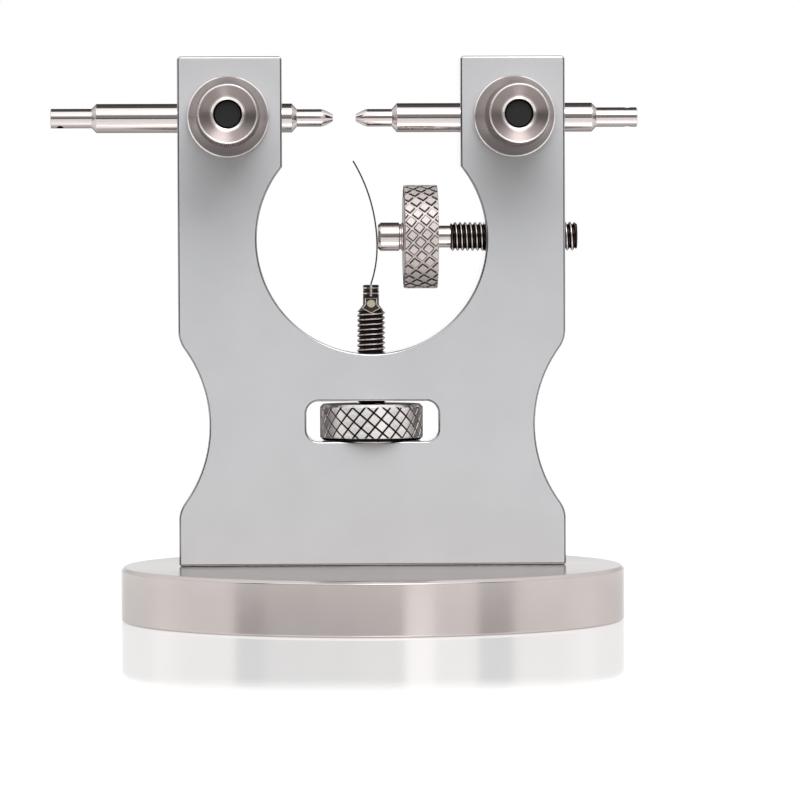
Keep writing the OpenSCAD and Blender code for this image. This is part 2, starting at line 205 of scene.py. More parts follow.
def thread(name, z0, z1, blank, seg=SMALL_SEG):
    """A right-handed threaded rod between z0 and z1, trimmed to the blank's profile."""
    bm = bmesh.new()
    first = -1
    turns = math.ceil((z1 - z0) / PITCH) + 2
    columns = len(THREAD_OUTLINE)
    grid = {}

    def vert(i, k):
        if k == columns:
            i, k = i + seg, 0
        if (i, k) not in grid:
            share, cut = THREAD_OUTLINE[k]
            r = THREAD_R - THREAD_DEPTH * cut
            t = 2 * math.pi * i / seg
            z = z0 + PITCH * (first + i / seg + share)
            grid[i, k] = bm.verts.new((r * math.cos(t), r * math.sin(t), z))
        return grid[i, k]

    for i in range(turns * seg):
        for k in range(columns):
            bm.faces.new((vert(i, k), vert(i + 1, k), vert(i + 1, k + 1), vert(i, k + 1)))
    cap_to_axis(bm, z0 - 2 * PITCH, z0 + (turns + 2) * PITCH)
    obj = bm_object(name, bm)
    return combine(obj, lathe("tool", blank, seg=seg), "INTERSECT")


def knurl(name, radius, width, chamfer, around, twist, bore, groove, wall, depth):
    """A diamond-knurled disc between z = 0 and width.

    around and twist give the count of its grooves, groove and wall are shares of their pitch,
    and each diamond has a small dimple in its middle.
    """
    circle = 2 * math.pi * radius
    n_p, n_q = around - twist, around + twist
    a, b = n_p / circle, n_q / circle
    edge = groove + wall
    marks = [0.0, groove, edge, 0.34, 0.5, 0.66, 1 - edge, 1 - groove]
    cuts = [1.0, 1.0, 0.0, 0.0, 0.0, 0.0, 0.0, 1.0]
    per = len(marks)
    dimple = 0.05
    det = a * a + b * b
    bm = bmesh.new()
    grid = {}

    def spot(i, j):
        p = i // per + marks[i % per]
        q = j // per + marks[j % per]
        return (a * p + b * q) / det, (b * p - a * q) / det

    def vert(i, j):
        u, v = spot(i, j)
        laps = math.floor(u / circle + 1e-9)
        key = (i - laps * per * n_p, j - laps * per * n_q)
        if key not in grid:
            u, v = spot(*key)
            cut = max(cuts[key[0] % per], cuts[key[1] % per])
            centre = key[0] % per == 4 and key[1] % per == 4
            r = radius - depth * cut - (dimple if centre else 0)
            t = u / radius
            grid[key] = bm.verts.new((r * math.cos(t), r * math.sin(t), v))
        return grid[key]

    margin = 0.6
    reach = int(per * (n_q + b * (width + 2 * margin) + 2))
    for i in range(-reach, reach):
        for j in range(-reach, reach):
            u, v = spot(i, j)
            if not (-1e-9 <= u < circle - 1e-9 and -margin <= v <= width + margin):
                continue
            corners = [vert(i, j), vert(i + 1, j), vert(i + 1, j + 1), vert(i, j + 1)]
            bm.faces.new(corners)
    cap_to_axis(bm, -2 * margin - 1, width + 2 * margin + 1)
    disc = bm_object(name, bm)
    proud, inner = 0.02, radius - chamfer
    blank = lathe("tool", [
        (0, 0), (inner, 0), (radius + proud, chamfer + proud), (radius + proud, width - chamfer - proud),
        (inner, width), (0, width)
    ])
    combine(disc, blank, "INTERSECT")
    return combine(disc, rod_tool(bore, -1, width + 1))


# ---------------------------------------------------------------- materials

def material(name):
    mat = bpy.data.materials.new(name)
    mat.use_nodes = True
    tree = mat.node_tree
    shader = tree.nodes["Principled BSDF"]
    return mat, tree, shader


def link(tree, a, b):
    tree.links.new(a, b)


def add(tree, kind, **values):
    node = tree.nodes.new(kind)
    for key, value in values.items():
        if key in node.inputs:
            node.inputs[key].default_value = value
        else:
            setattr(node, key, value)
    return node


def calc(tree, op, a, b=None, c=None, clamp=False):
    """A Math node whose inputs are sockets or numbers."""
    node = tree.nodes.new("ShaderNodeMath")
    node.operation = op
    node.use_clamp = clamp
    for i, value in enumerate((a, b, c)):
        if value is None:
            continue
        if isinstance(value, (int, float)):
            node.inputs[i].default_value = value
        else:
            tree.links.new(value, node.inputs[i])
    return node.outputs[0]


def ramp(tree, value, low, high):
    """0 below low and 1 above high, with a smooth step between."""
    node = tree.nodes.new("ShaderNodeMapRange")
    node.interpolation_type = "SMOOTHSTEP"
    node.inputs["From Min"].default_value = low
    node.inputs["From Max"].default_value = high
    tree.links.new(value, node.inputs["Value"])
    return node.outputs["Result"]


def rings_of(tree, axis, centre):
    """Distance from a turned piece's axis and the place along it, in metres."""
    coords = tree.nodes.new("ShaderNodeTexCoord").outputs["Object"]
    split = tree.nodes.new("ShaderNodeSeparateXYZ")
    shift = add(tree, "ShaderNodeVectorMath", operation="SUBTRACT")
    link(tree, coords, shift.inputs[0])
    shift.inputs[1].default_value = centre
    link(tree, shift.outputs[0], split.inputs[0])
    along = split.outputs["XYZ".index(axis)]
    others = [split.outputs[i] for i in range(3) if i != "XYZ".index(axis)]
    squares = [calc(tree, "MULTIPLY", o, o) for o in others]
    return calc(tree, "SQRT", calc(tree, "ADD", *squares)), along


GLOSS = 0.14
# the default lighter colour painted on worn or polished zones as a highlight
HIGHLIGHT_GLEAM = (0.86, 0.82, 0.8)
# the middle colour is the fine dark line of painted shade where the plate's roundings start
MILLED, MILLED_LIP_SHADE, MILLED_WALL = (0.46, 0.46, 0.47), (0.13, 0.13, 0.135), (0.87, 0.87, 0.88)
WALL_ROUGH = 0.1


def metal(name, colour, rough, axis=None, centre=(0, 0, 0), lines=0.0, line_gap=0.05, anisotropic=0.0,
          grain=0.0, tint=0.06, metallic=1.0, groove_shade=None, polish_highlights=None, edges=None, ior=1.5, highlight_gleam=HIGHLIGHT_GLEAM,
          painted_shade_zone=None, rim=1.0, gloss=GLOSS):
    """Steel, brass or aluminium. A turned piece gets fine tool marks round its axis.

    lines and grain are the heights of the tool marks and of the grain, and line_gap the width of a mark.
    groove_shade is shade painted into the grooves of a knurl or thread: (outer radius, depth, colour, whether the
    floor of the grooves is left unshaded, place along the axis from, to). polish_highlights lists worn or
    polished zones as (radius from, to, place along the axis from, to), which are also painted lighter as
    highlights, and painted_shade_zone is one such zone with a dark colour painted there as shade.
    edges is the roughness of a plate's milled roundings. A rim below 1 darkens grazing views.
    """
    mat, tree, shader = material(name)
    shader.inputs["Metallic"].default_value = metallic
    shader.inputs["IOR"].default_value = ior
    shader.inputs["Specular Tint"].default_value = (rim, rim, rim, 1)
    shader.inputs["Anisotropic"].default_value = anisotropic
    if axis:
        # a quarter turn: the blur runs across the tool marks
        shader.inputs["Anisotropic Rotation"].default_value = 0.25
    coords = tree.nodes.new("ShaderNodeTexCoord").outputs["Object"]
    cloud = add(tree, "ShaderNodeTexNoise", Scale=160.0, Detail=3.0)
    link(tree, coords, cloud.inputs["Vector"])
    dark = tuple(v * (1 - tint) for v in colour) + (1,)
    light = tuple(min(1, v * (1 + tint)) for v in colour) + (1,)
    mix = add(tree, "ShaderNodeMix", data_type="RGBA")
    mix.inputs["A"].default_value = dark
    mix.inputs["B"].default_value = light
    height = None
    if axis:
        tangent = add(tree, "ShaderNodeTangent", direction_type="RADIAL", axis=axis)
        link(tree, tangent.outputs[0], shader.inputs["Tangent"])
        radius, along = rings_of(tree, axis, centre)
        path = calc(tree, "ADD", radius, calc(tree, "MULTIPLY", along, 1.37))
        trail = calc(tree, "DIVIDE", path, line_gap * MM)
        marks = add(tree, "ShaderNodeTexNoise", noise_dimensions="1D", Scale=1.0, Detail=3.0, Roughness=0.6)
        link(tree, trail, marks.inputs["W"])
        height = marks.outputs["Fac"]
        clouds = calc(tree, "MULTIPLY", cloud.outputs["Fac"], 0.4)
        blended = calc(tree, "ADD", calc(tree, "MULTIPLY", height, 0.6), clouds)
        link(tree, ramp(tree, blended, 0.3, 0.7), mix.inputs["Factor"])
    else:
        link(tree, ramp(tree, cloud.outputs["Fac"], 0.3, 0.7), mix.inputs["Factor"])
    colour_out = mix.outputs["Result"]

    def between(value, low, high, soft):
        """1 from low to high, in mm, with soft ends."""
        return calc(tree, "SUBTRACT", ramp(tree, value, (low - soft) * MM, (low + soft) * MM),
                    ramp(tree, value, (high - soft) * MM, (high + soft) * MM))

    def zone_of(r0, r1, z0, z1):
        return calc(tree, "MULTIPLY", between(radius, r0, r1, 0.02), between(along, z0, z1, 0.01))

    def painted(under, amount, over_colour):
        layer = add(tree, "ShaderNodeMix", data_type="RGBA")
        link(tree, amount, layer.inputs["Factor"])
        link(tree, under, layer.inputs["A"])
        layer.inputs["B"].default_value = over_colour + (1,)
        return layer.outputs["Result"]

    # shade painted into the grooves of a knurl or thread: dark on their walls, and on their floor unless that is
    # left bright
    if groove_shade:
        outer, depth, groove_shade_colour, unshaded_floor, low_end, high_end = groove_shade
        below = calc(tree, "SUBTRACT", outer * MM, radius)
        low = ramp(tree, below, 0.1 * depth * MM, 0.5 * depth * MM)
        if unshaded_floor:
            low = calc(tree, "SUBTRACT", low, ramp(tree, below, 0.9 * depth * MM, 0.98 * depth * MM))
        low = calc(tree, "MULTIPLY", low, between(along, low_end, high_end, 0.02))
        colour_out = painted(colour_out, low, groove_shade_colour)
    # a zone painted dark as shade
    if painted_shade_zone:
        colour_out = painted(colour_out, zone_of(*painted_shade_zone[:4]), painted_shade_zone[4])
    # worn or polished zones, which are also painted in a lighter colour as highlights
    shine = None
    for zone in polish_highlights or ():
        zone = zone_of(*zone)
        shine = zone if shine is None else calc(tree, "MAXIMUM", shine, zone)
    if shine is not None:
        colour_out = painted(colour_out, shine, highlight_gleam)
        link(tree, calc(tree, "MULTIPLY_ADD", shine, 1.0 - metallic, metallic), shader.inputs["Metallic"])
    if edges:
        # the milled roundings and walls, which don't look along Y, are smooth bare metal
        facing = tree.nodes.new("ShaderNodeSeparateXYZ")
        link(tree, tree.nodes.new("ShaderNodeTexCoord").outputs["Normal"], facing.inputs[0])
        lean = calc(tree, "ABSOLUTE", facing.outputs["Y"])
        milled = calc(tree, "SUBTRACT", 1.0, ramp(tree, lean, 0.965, 0.995))
        wall = calc(tree, "SUBTRACT", 1.0, ramp(tree, lean, 0.08, 0.3))
        colour_out = painted(colour_out, milled, MILLED)
        # where the rounding starts, a fine dark line of painted shade, but not on edges that look up
        lip_shade = calc(tree, "SUBTRACT", ramp(tree, lean, 0.83, 0.89), ramp(tree, lean, 0.985, 0.996))
        downward = calc(tree, "SUBTRACT", 1.0, ramp(tree, facing.outputs["Z"], 0.14, 0.24))
        colour_out = painted(colour_out, calc(tree, "MULTIPLY", lip_shade, downward), MILLED_LIP_SHADE)
        colour_out = painted(colour_out, wall, MILLED_WALL)
        link(tree, calc(tree, "MULTIPLY_ADD", milled, 1.0 - metallic, metallic), shader.inputs["Metallic"])
    link(tree, colour_out, shader.inputs["Base Color"])
    patches = add(tree, "ShaderNodeTexNoise", Scale=420.0, Detail=4.0)
    link(tree, coords, patches.inputs["Vector"])
    spread = calc(tree, "MULTIPLY_ADD", patches.outputs["Fac"], 0.25 * rough, 0.875 * rough)
    if shine is not None:
        spread = calc(tree, "MULTIPLY_ADD", shine, gloss - rough, spread)
    if edges:
        spread = calc(tree, "MULTIPLY_ADD", milled, edges - rough, spread)
        spread = calc(tree, "MULTIPLY_ADD", wall, WALL_ROUGH - edges, spread)
    link(tree, spread, shader.inputs["Roughness"])
    if grain:
        fine = add(tree, "ShaderNodeTexNoise", Scale=9000.0, Detail=2.0)
        link(tree, coords, fine.inputs["Vector"])
        height = fine.outputs["Fac"]
        lines = grain
    if height is not None and lines:
        bump = add(tree, "ShaderNodeBump", Strength=1.0, Distance=lines * MM)
        link(tree, height, bump.inputs["Height"])
        link(tree, bump.outputs[0], shader.inputs["Normal"])
    return mat


ON_SPINDLE = (0, MID_Y * MM, SPINDLE_Z * MM)
ON_SCREW = (0, MID_Y * MM, SCREW_Z * MM)
ON_ROD = (0, MID_Y * MM, 0)

BASE_STEEL = metal("base_steel", (0.62, 0.56, 0.54), 0.17, "Z", (0, 0, 0), 0.0004, 0.05, 0.6, rim=0.8)
PLATE_METAL = metal("plate_metal", (0.6, 0.605, 0.62), 0.5, grain=0.002, tint=0.02, metallic=0.3, edges=0.16)
SPINDLE_STEEL = metal("spindle_steel", (0.66, 0.6, 0.585), 0.12, "X", ON_SPINDLE, 0.0003, 0.04, 0.5, rim=0.2)
SCREW_STEEL = metal("screw_steel", (0.62, 0.56, 0.54), 0.15, "X", ON_SCREW, 0.0004, 0.04, 0.5, rim=0.35)
THREAD_STEEL = metal("thread_steel", (0.66, 0.6, 0.58), 0.22, "X", ON_SCREW, 0.0004, 0.04, 0.3,
                     # painted shade in the thread's roots
                     groove_shade=(1.43, 0.16, (0.05, 0.038, 0.036), False, 0, 40), rim=0.35)
KNURL_DEPTH = 0.2
WHEEL_X, WHEEL_W, WHEEL_R = 3.3, 3.35, 5.175
WHEEL_STEEL = metal("wheel_steel", (0.68, 0.625, 0.61), 0.62, "X", ON_SCREW, 0.0004, 0.05, 0.2, tint=0.25,
                    # a dark ring of painted shade round the wheel's left end
                    painted_shade_zone=(4.0, 5.3, WHEEL_X - 0.1, WHEEL_X + 0.02, (0.1, 0.085, 0.08)),
                    # painted shade in the knurl's grooves
                    groove_shade=(WHEEL_R, KNURL_DEPTH, (0.03, 0.025, 0.024), True,
                          WHEEL_X + 0.05, WHEEL_X + WHEEL_W - 0.05), rim=0.5)
NUT_Z, NUT_W, NUT_R = BASE_T + 12.4, 3.6, 5.15
NUT_STEEL = metal("nut_steel", (0.93, 0.89, 0.87), 0.36, "Z", ON_ROD, 0.0004, 0.05, 0.2,
                  # painted shade in the knurl's grooves
                  groove_shade=(NUT_R, KNURL_DEPTH, (0.03, 0.026, 0.025), False, NUT_Z + 0.28, NUT_Z + NUT_W - 0.28),
                  # a painted shadow along the nut's lower chamfer, under the nut
                  painted_shade_zone=(4.4, 5.3, NUT_Z - 0.1, NUT_Z + 0.24, (0.02, 0.018, 0.018)), rim=0.02)
ROD_FOOT, ROD_TOP = BASE_T + 4.3, BASE_T + 27.9
BLACK_STEEL = metal("black_steel", (0.012, 0.006, 0.006), 0.3, "Z", ON_ROD, 0.0004, 0.05, 0.0,
                    tint=0.25, metallic=0.0, ior=1.33, highlight_gleam=(0.64, 0.55, 0.54), polish_highlights=[
                        # bare worn bands on the thread's crests and on the neck, also painted lighter as
                        # highlights
                        (1.42, 1.6, 0, 40), (0.7, 0.9, ROD_TOP - 0.38, ROD_TOP - 0.25),
                        (0.76, 0.9, ROD_TOP - 0.92, ROD_TOP - 0.8)])
STUD_BLACK = metal("stud_black", (0.014, 0.0145, 0.014), 0.5, grain=0.002, tint=0.2, metallic=0.0, ior=1.36)
SPRING_BLUE = metal("spring_blue", (0.1, 0.105, 0.11), 0.25, grain=0.0005, tint=0.15)
PIN_BRASS = metal("pin_brass_look", (0.85, 0.77, 0.58), 0.4, grain=0.006, tint=0.35)
PAD_BRASS = metal("pad_brass_look", (0.7, 0.5, 0.22), 0.3, grain=0.001)
FASTENER = metal("fastener_look", (0.4, 0.37, 0.36), 0.32, grain=0.001)
FACET_EDGE = metal("facet_edge", (0.95, 0.9, 0.86), 0.5, grain=0.001, metallic=0.3)
FACET_FLAT = metal("facet_flat", (0.4, 0.33, 0.25), 0.45, grain=0.006, tint=0.9)
KNOB_L = 9.5
KNOB_BACK_Y = FRONT_Y - 0.2
KNOB_FRONT_Y = KNOB_BACK_Y - KNOB_L
KNOB_STEEL = {
    side: metal(side + "_knob_steel", (0.38, 0.325, 0.315), 0.35, "Y", (x * MM, 0, SPINDLE_Z * MM),
                0.001, 0.09, 0.45, rim=0.8, gloss=0.27, highlight_gleam=(0.84, 0.79, 0.77), polish_highlights=[
                    # polished rings round the hole, at the front edge and at the rim, also painted lighter as
                    # highlights
                    (1.3, 1.66, KNOB_FRONT_Y - 1, KNOB_FRONT_Y + 1),
                    (2.77, 3.02, KNOB_FRONT_Y - 1, KNOB_FRONT_Y + 0.3),
                    (3.91, 4.2, KNOB_FRONT_Y + 8, KNOB_BACK_Y + 1)],
                # the knob's dish painted darker as shade
                painted_shade_zone=(1.8, 2.8, KNOB_FRONT_Y - 1, KNOB_FRONT_Y + 1, (0.27, 0.232, 0.225)))
    for side, x in (("left", -CLAMP_X), ("right", CLAMP_X))
}


# ---------------------------------------------------------------- finishing a piece

def dress(obj, body, mat, node, sharp=32, weighted=False, ride=True):
    """Scales a piece to metres, shades it and lets it stand for its CAD node."""
    mesh = obj.data
    mesh.transform(Matrix.Scale(MM, 4))
    mesh.materials.clear()
    mesh.materials.append(mat)
    mesh.shade_smooth()
    mesh.set_sharp_from_angle(angle=math.radians(sharp))
    if weighted:
        mod = obj.modifiers.new("normals", "WEIGHTED_NORMAL")
        mod.keep_sharp = True
        mod.weight = 100
        apply_modifiers(obj)
        obj.data.materials.clear()
        obj.data.materials.append(mat)
    if ride:
        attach(obj, body)
    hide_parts(node)
    return obj


# ---------------------------------------------------------------- base

base = lathe("turned_base", soften(
    [(0, 0), (BASE_R - 0.18, 0), (BASE_R, 0.18), (BASE_R, BASE_T - 0.3), (BASE_R - 0.3, BASE_T), (0, BASE_T)],
    0.1), seg=2 * SEG)
for s in (-1, 1):
    combine(base, place(lathe("tool", [
        (0, -1), (2.8, -1), (2.8, 0.3), (BORE_R, 1.6), (BORE_R, 7), (0, 7)], seg=64), s * BASE_SCREW_X, MID_Y))
    combine(base, place(rod_tool(PIN_BORE_R, BASE_T - 3, BASE_T + 1), s * BASE_PIN_X, MID_Y))
dress(base, "stand", BASE_STEEL, "base_disc")


# ---------------------------------------------------------------- plate

def arc(cx, cz, r, a, b, steps):
    """Points from angle a to angle b, both included, in degrees."""
    return [
        (cx + r * math.cos(math.radians(a + (b - a) * i / steps)),
         cz + r * math.sin(math.radians(a + (b - a) * i / steps)))
        for i in range(steps + 1)
    ]


def plate_loop():
    """The plate's outline, counterclockwise from its lower left corner; heights from the base's top."""
    half, height, gap = 19.25, 50.6, 8.85
    win_r, win_z = 11.4, 32.45
    waist_half, waist_z, waist_r, blend_r = 16.2, 13.95, 13, 3
    hollow_x = waist_half + waist_r
    blend_x = half - blend_r
    rise = math.sqrt((waist_r + blend_r) ** 2 - (hollow_x - blend_x) ** 2)
    tilt = math.degrees(math.atan2(rise, hollow_x - blend_x))
    right = arc(blend_x, waist_z - rise, blend_r, 0, tilt, 6)
    right += arc(hollow_x, waist_z, waist_r, 180 + tilt, 180 - tilt, 24)[1:]
    right += arc(blend_x, waist_z + rise, blend_r, -tilt, 0, 6)[1:]
    corner, foot_corner = 0.35, 0.25
    top = arc(half - corner, height - corner, corner, 0, 90, 4)
    top += arc(gap + corner, height - corner, corner, 90, 180, 4)
    meet = math.degrees(math.acos(gap / win_r))
    window = arc(0, win_z, win_r, meet, -90, 60)
    foot = arc(half - foot_corner, foot_corner, foot_corner, -90, 0, 3)
    side = foot + right + top + window
    mirrored = [(-x, z) for x, z in reversed(side[:-1])]
    return side + mirrored


def offset(loop, d):
    """The closed loop moved inward (to its left when counterclockwise) by d."""
    out = []
    for i, p in enumerate(loop):
        a = Vector(p) - Vector(loop[i - 1])
        b = Vector(loop[(i + 1) % len(loop)]) - Vector(p)
        a.normalize()
        b.normalize()
        na, nb = Vector((-a.y, a.x)), Vector((-b.y, b.x))
        n = (na + nb).normalized()
        out.append(tuple(Vector(p) + n * (d / max(0.5, n.dot(na)))))
    return out


def plate_mesh():
    outer = plate_loop()
    slot = []
    slot_x, slot_low, slot_high, slot_r = 5.35, 13.55, 15.15, 1.2
    for cx, cz, a in ((slot_x, slot_low, -90), (slot_x, slot_high, 0), (-slot_x, slot_high, 90),
                      (-slot_x, slot_low, 180)):
        slot += arc(cx, cz, slot_r, a, a + 90, 8)
    slot.reverse()
    # a quarter circle in five steps, as shares of the rounding's radius
    steps = [(1 - math.sin(t), 1 - math.cos(t)) for t in (math.radians(k * 18) for k in range(6))]
    front_edge, back_edge = 0.22, 0.08
    bm = bmesh.new()
    caps = {"front": [], "back": []}
    for loop in (outer, slot):
        rings = []
        for inset, drop in steps:
            line = offset(loop, inset * front_edge)
            rings.append([bm.verts.new((x, FRONT_Y + drop * front_edge, BASE_T + z)) for x, z in line])
        for inset, drop in reversed(steps):
            line = offset(loop, inset * back_edge)
            rings.append([bm.verts.new((x, BACK_Y - drop * back_edge, BASE_T + z)) for x, z in line])
        count = len(loop)
        for low, high in zip(rings, rings[1:]):
            for i in range(count):
                j = (i + 1) % count
                bm.faces.new((low[i], low[j], high[j], high[i]))
        caps["front"].append(rings[0])
        caps["back"].append(rings[-1])
    for loops in caps.values():
        verts = [v for ring in loops for v in ring]
        flat = [[Vector((v.co.x, v.co.z, 0)) for v in ring] for ring in loops]
        for tri in tessellate_polygon(flat):
            bm.faces.new([verts[i] for i in tri])
    return bm_object("machined_plate", bm)


plate = plate_mesh()
combine(plate, place(rod_tool(BORE_R, -20, 20), 0, MID_Y, SPINDLE_Z, "X"))
combine(plate, place(rod_tool(BORE_R, 0, 20), 0, MID_Y, SCREW_Z, "X"))
combine(plate, place(rod_tool(BORE_R, -1, 25), 0, MID_Y, BASE_T))
combine(plate, place(rod_tool(1.0, 0, 5), 0, MID_Y, GUIDE_Z, "Y"))
for s in (-1, 1):
    combine(plate, place(rod_tool(BORE_R, -1, 4), s * CLAMP_X, FRONT_Y, SPINDLE_Z, "Y"))
    combine(plate, place(rod_tool(BORE_R, -1, 7.5), s * BASE_SCREW_X, MID_Y, BASE_T))
    combine(plate, place(rod_tool(PIN_BORE_R, -1, 3.5), s * BASE_PIN_X, MID_Y, BASE_T))
dress(plate, "stand", PLATE_METAL, "frame_plate", sharp=36, weighted=True)


# ---------------------------------------------------------------- spindles

def spindle(name, cross_turn):
    """Tail, body, nose and a rounded hollow tip at +Z; cross_turn is the angle of the tail's hole."""
    tail_r, nose_r, tip_r, cup_r, hole_r = 0.975, 0.875, 0.35, 0.2, 0.34
    point_l, point_steps = 1.2, 10
    point = [
        (nose_r - (nose_r - tip_r) * (i / point_steps) ** 1.35,
         SPINDLE_L - point_l + point_l * i / point_steps)
        for i in range(point_steps + 1)
    ]
    profile = [(0, 0), (tail_r - 0.05, 0), (tail_r, 0.05), (tail_r, 4.1), (SPINDLE_R, 4.55),
               (SPINDLE_R, 24.05), (nose_r, 24.55)]
    profile = soften(profile + [point[0]], 0.05)[:-1] + point + [(cup_r, SPINDLE_L), (0, SPINDLE_L - cup_r)]
    obj = lathe(name, profile)
    hole = place(rod_tool(hole_r, -2, 2, seg=32), axis="X")
    hole.data.transform(Matrix.Rotation(math.radians(cross_turn), 4, "Z"))
    hole.data.transform(Matrix.Translation((0, 0, 0.95)))
    return combine(obj, hole)


left = place(spindle("left_turned_spindle", -20), LEFT_TIP_X - SPINDLE_L, MID_Y, SPINDLE_Z, "X")
right = place(spindle("right_turned_spindle", 0), RIGHT_TIP_X + SPINDLE_L, MID_Y, SPINDLE_Z, "-X")
dress(left, "left_centre", SPINDLE_STEEL, "left_spindle")
dress(right, "right_centre", SPINDLE_STEEL, "right_spindle")


# ---------------------------------------------------------------- clamps

STUD_FRONT_Y = KNOB_FRONT_Y + 1.25
PAD_L, CLEAR = 0.8, 0.05
PAD_FRONT_Y = MID_Y - SPINDLE_R - CLEAR - PAD_L


def serration(r, z):
    """Depth of the fine straight serrations, which run along the grip and out through its front edge."""
    depth, inner_r, grip_end = 0.19, 2.93, 4.75
    return depth if r > inner_r and z < grip_end else 0.0


def knob(name):
    """A curved dish round the hole, a serrated grip, and a flare up to the rim."""
    profile = soften([
        (1.4, 1.15), (1.41, 0.78), (1.9, 0.45), (2.85, 0.0), (3.0, 0.15), (3.006, 0.3), (3.188, 4.7), (3.2, 5.0),
        (3.92, 8.7), (4.05, 8.83), (4.05, KNOB_L - 0.15), (3.9, KNOB_L), (1.4, KNOB_L)
    ], 0.05, closed=True)
    return lathe(name, profile, closed=True, seg=192, cut=serration)


def stud(name):
    """A black stud: plain inside the knob, threaded in the plate."""
    plain = FRONT_Y - CLEAR - STUD_FRONT_Y
    total = PAD_FRONT_Y - CLEAR - STUD_FRONT_Y
    screw = thread(name, plain, total, [
        (0, plain - 0.1), (1.46, plain - 0.1), (1.46, total - 0.25), (1.2, total), (0, total)])
    shank = soften([
        (0, 0), (1.24, 0), (1.27, 0.03), (1.27, 0.6), (1.38, 0.65), (1.38, plain), (0, plain)], 0.02)
    return combine(screw, lathe("tool", shank, seg=SMALL_SEG), "UNION")


for side, s in (("left", -1), ("right", 1)):
    x = s * CLAMP_X
    turned = place(knob(side + "_turned_knob"), x, KNOB_FRONT_Y, SPINDLE_Z, "Y")
    dress(turned, side + "_clamp", KNOB_STEEL[side], side + "_clamp_knob")
    black = place(stud(side + "_black_stud"), x, STUD_FRONT_Y, SPINDLE_Z, "Y")
    dress(black, side + "_clamp", STUD_BLACK, side + "_clamp_stud")
    pad = lathe(side + "_pressure_pad", soften([
        (0, 0), (1.3, 0), (1.4, 0.1), (1.4, PAD_L - 0.1), (1.3, PAD_L), (0, PAD_L)], 0.04), seg=SMALL_SEG)
    place(pad, x, PAD_FRONT_Y, SPINDLE_Z, "Y")
    dress(pad, side + "_pad_carrier", PAD_BRASS, side + "_clamp_pad")


# ---------------------------------------------------------------- height adjustment

nut = knurl("knurled_nut", NUT_R, NUT_W, chamfer=0.3, around=23, twist=2, bore=BORE_R,
            groove=0.02, wall=0.08, depth=KNURL_DEPTH)
place(nut, 0, MID_Y, NUT_Z)
dress(nut, "nut", NUT_STEEL, "height_nut", sharp=20)

FACET_Y = -0.52


def rod():
    """Round foot with a guide slot, thread, and a slit neck with a groove and a ground facet."""
    foot, neck_foot, top = 6.7, 21.62, ROD_TOP - ROD_FOOT
    shoulder = neck_foot - 0.5
    obj = thread("threaded_rod", foot - 0.16, shoulder, [
        (0, foot - 0.1), (1.46, foot - 0.1), (1.46, shoulder - 0.25), (1.18, shoulder), (0, shoulder)])
    plain = soften([(0, 0), (1.3, 0), (1.45, 0.15), (1.45, foot), (0, foot)], 0.05)
    combine(obj, lathe("tool", plain, seg=SMALL_SEG), "UNION")
    neck = soften([
        (0, shoulder - 0.5), (1.1, shoulder - 0.5), (1.18, shoulder), (0.8, neck_foot), (0.8, top - 0.62),
        (0.75, top - 0.56), (0.75, top - 0.5), (0.8, top - 0.44), (0.8, top - 0.08), (0.72, top), (0, top)], 0.03)
    combine(obj, lathe("tool", neck, seg=SMALL_SEG), "UNION")
    slit_half, slit_depth = 0.11, 1.13
    combine(obj, box_tool((-slit_half, -2, top - slit_depth), (slit_half, 2, top + 1)))
    combine(obj, box_tool((-0.45, 0.85, -1), (0.45, 2, foot - 0.1)))
    # the ground facet in front of the pin, with a pointed lower end
    outline = [(-2, -1.33), (2, -1.33), (2, -1.76), (0, -2.84), (-2, -1.76)]
    verts = [(x, y, top + z) for y in (-3, FACET_Y) for x, z in outline]
    faces = [(4, 3, 2, 1, 0), (5, 6, 7, 8, 9)]
    faces += [(i, (i + 1) % 5, (i + 1) % 5 + 5, i + 5) for i in range(5)]
    combine(obj, mesh_object("tool", verts, faces))
    return place(obj, 0, MID_Y, ROD_FOOT)


def is_facet(face):
    """True for the flat that is ground on the neck's front."""
    centre = face.calc_center_median()
    y, z = centre.y / MM - MID_Y, centre.z / MM - ROD_TOP
    return -2.9 < z < -1.2 and abs(y - FACET_Y) < 0.01 and face.normal.y < -0.99


def bare_facet(obj):
    """Gives the ground faces their own finish, with a pale border."""
    mesh = obj.data
    mesh.materials.append(FACET_FLAT)
    mesh.materials.append(FACET_EDGE)
    bm = bmesh.new()
    bm.from_mesh(mesh)
    flats = [f for f in bm.faces if is_facet(f)]
    border = bmesh.ops.inset_region(bm, faces=flats, thickness=0.06 * MM, use_even_offset=True)
    for f in flats:
        f.material_index = 1
    for f in border["faces"]:
        f.material_index = 2
    bm.to_mesh(mesh)
    bm.free()


bare_facet(dress(rod(), "rod", BLACK_STEEL, "height_rod", sharp=28))

pin = lathe("soft_pin", soften([
    (0, -0.7), (0.38, -0.7), (0.45, -0.6), (0.45, 0.68), (0.36, 0.76), (0, 0.76)], 0.04), seg=48)
place(pin, 0, MID_Y, ROD_TOP - 1.9, "Y")
dress(pin, "rod", PIN_BRASS, "feeler_pin")


# ---------------------------------------------------------------- feeler

